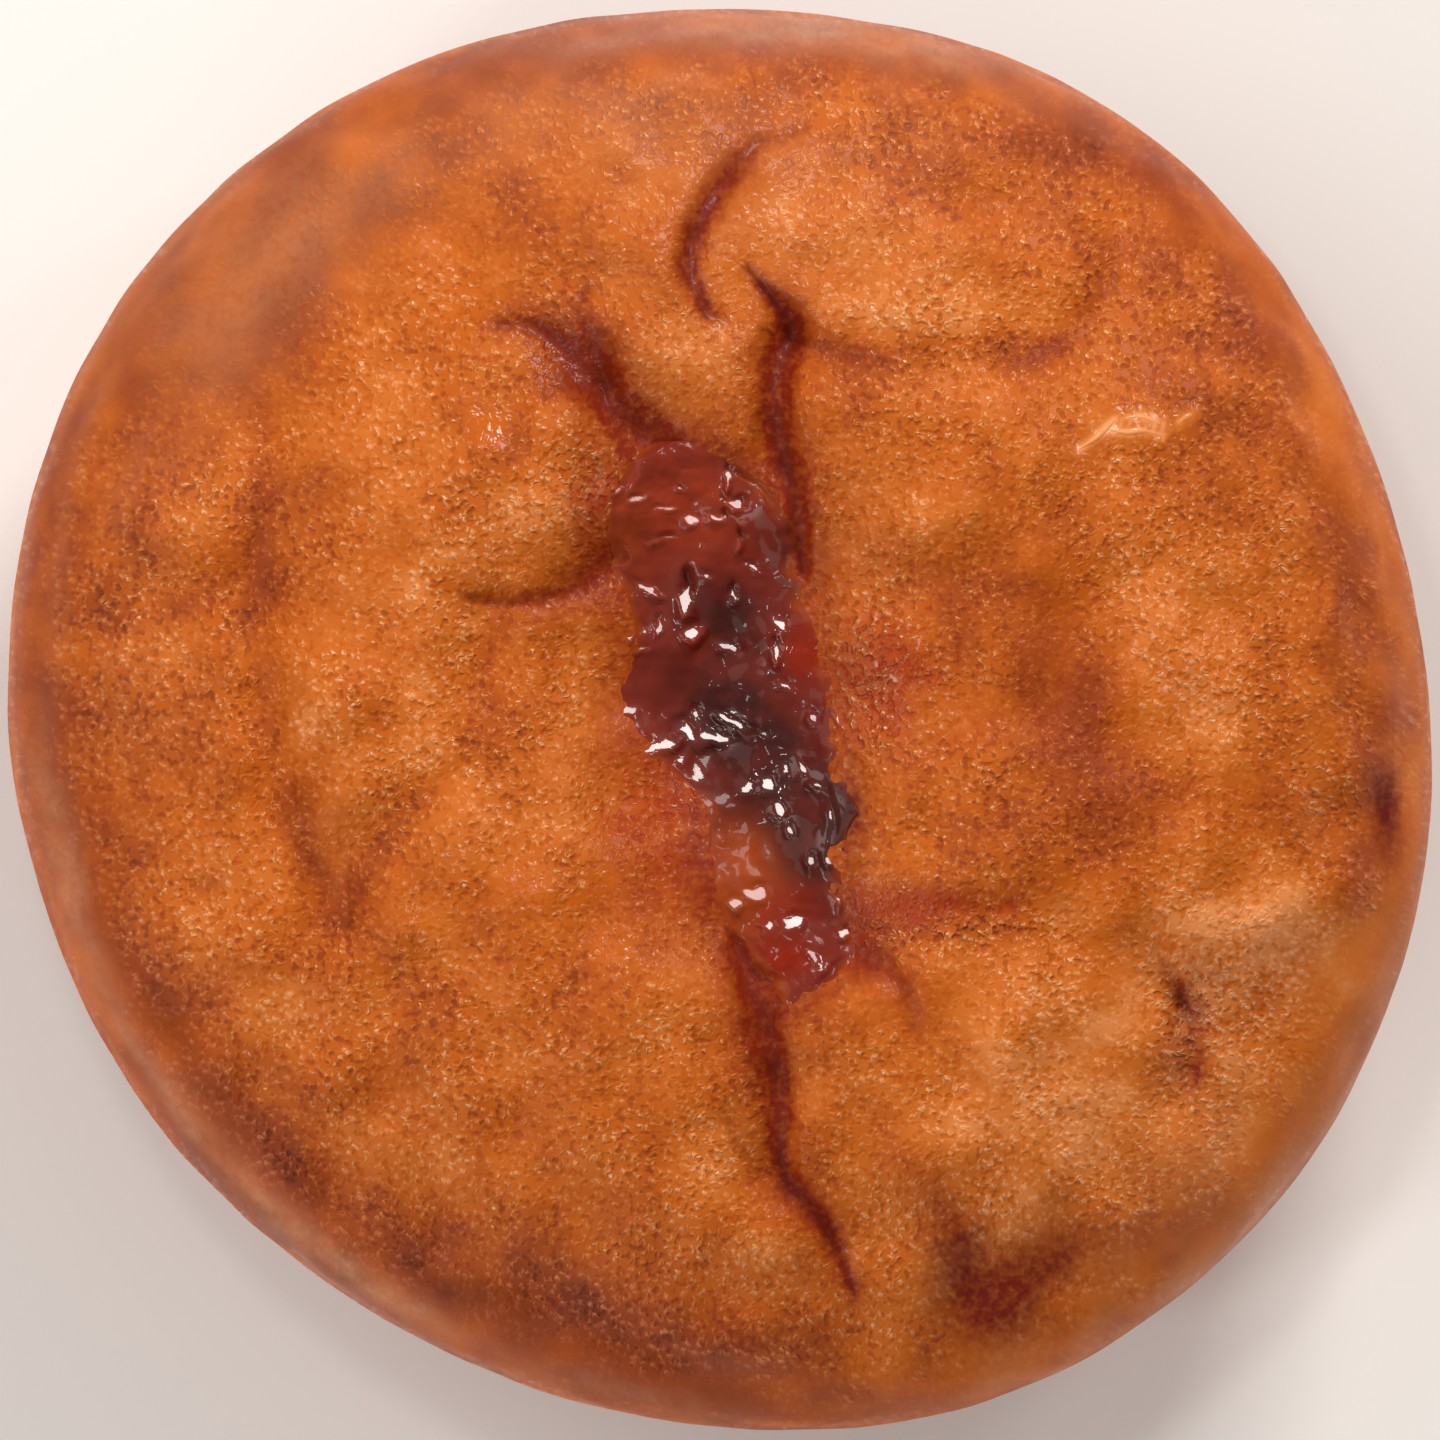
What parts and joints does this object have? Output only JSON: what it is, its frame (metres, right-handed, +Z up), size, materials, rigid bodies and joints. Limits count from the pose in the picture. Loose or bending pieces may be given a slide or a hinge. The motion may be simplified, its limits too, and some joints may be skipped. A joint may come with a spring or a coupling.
{
  "type": "jam doughnut",
  "caption": "Round fried jam doughnut lying seam side up, sunk in the middle, with folds running to a split seam filled with dark red jam.",
  "frame": {"origin": "on the table under the middle of the doughnut", "axes": "+Z up out of the split crown; the split runs roughly along Y, and +Y is the end that the hooked crease lies at"},
  "size_m": [0.0849, 0.0848, 0.0391],
  "materials": {
    "crust": "deep-fried dough crust, orange brown, fine gritty blisters with an oily sheen",
    "jam": "wet set jam, dark red to nearly black, clear red where it is thin"
  },
  "bodies": {
    "root": {"dough": "crust", "jam": "jam"}
  },
  "joints": []
}
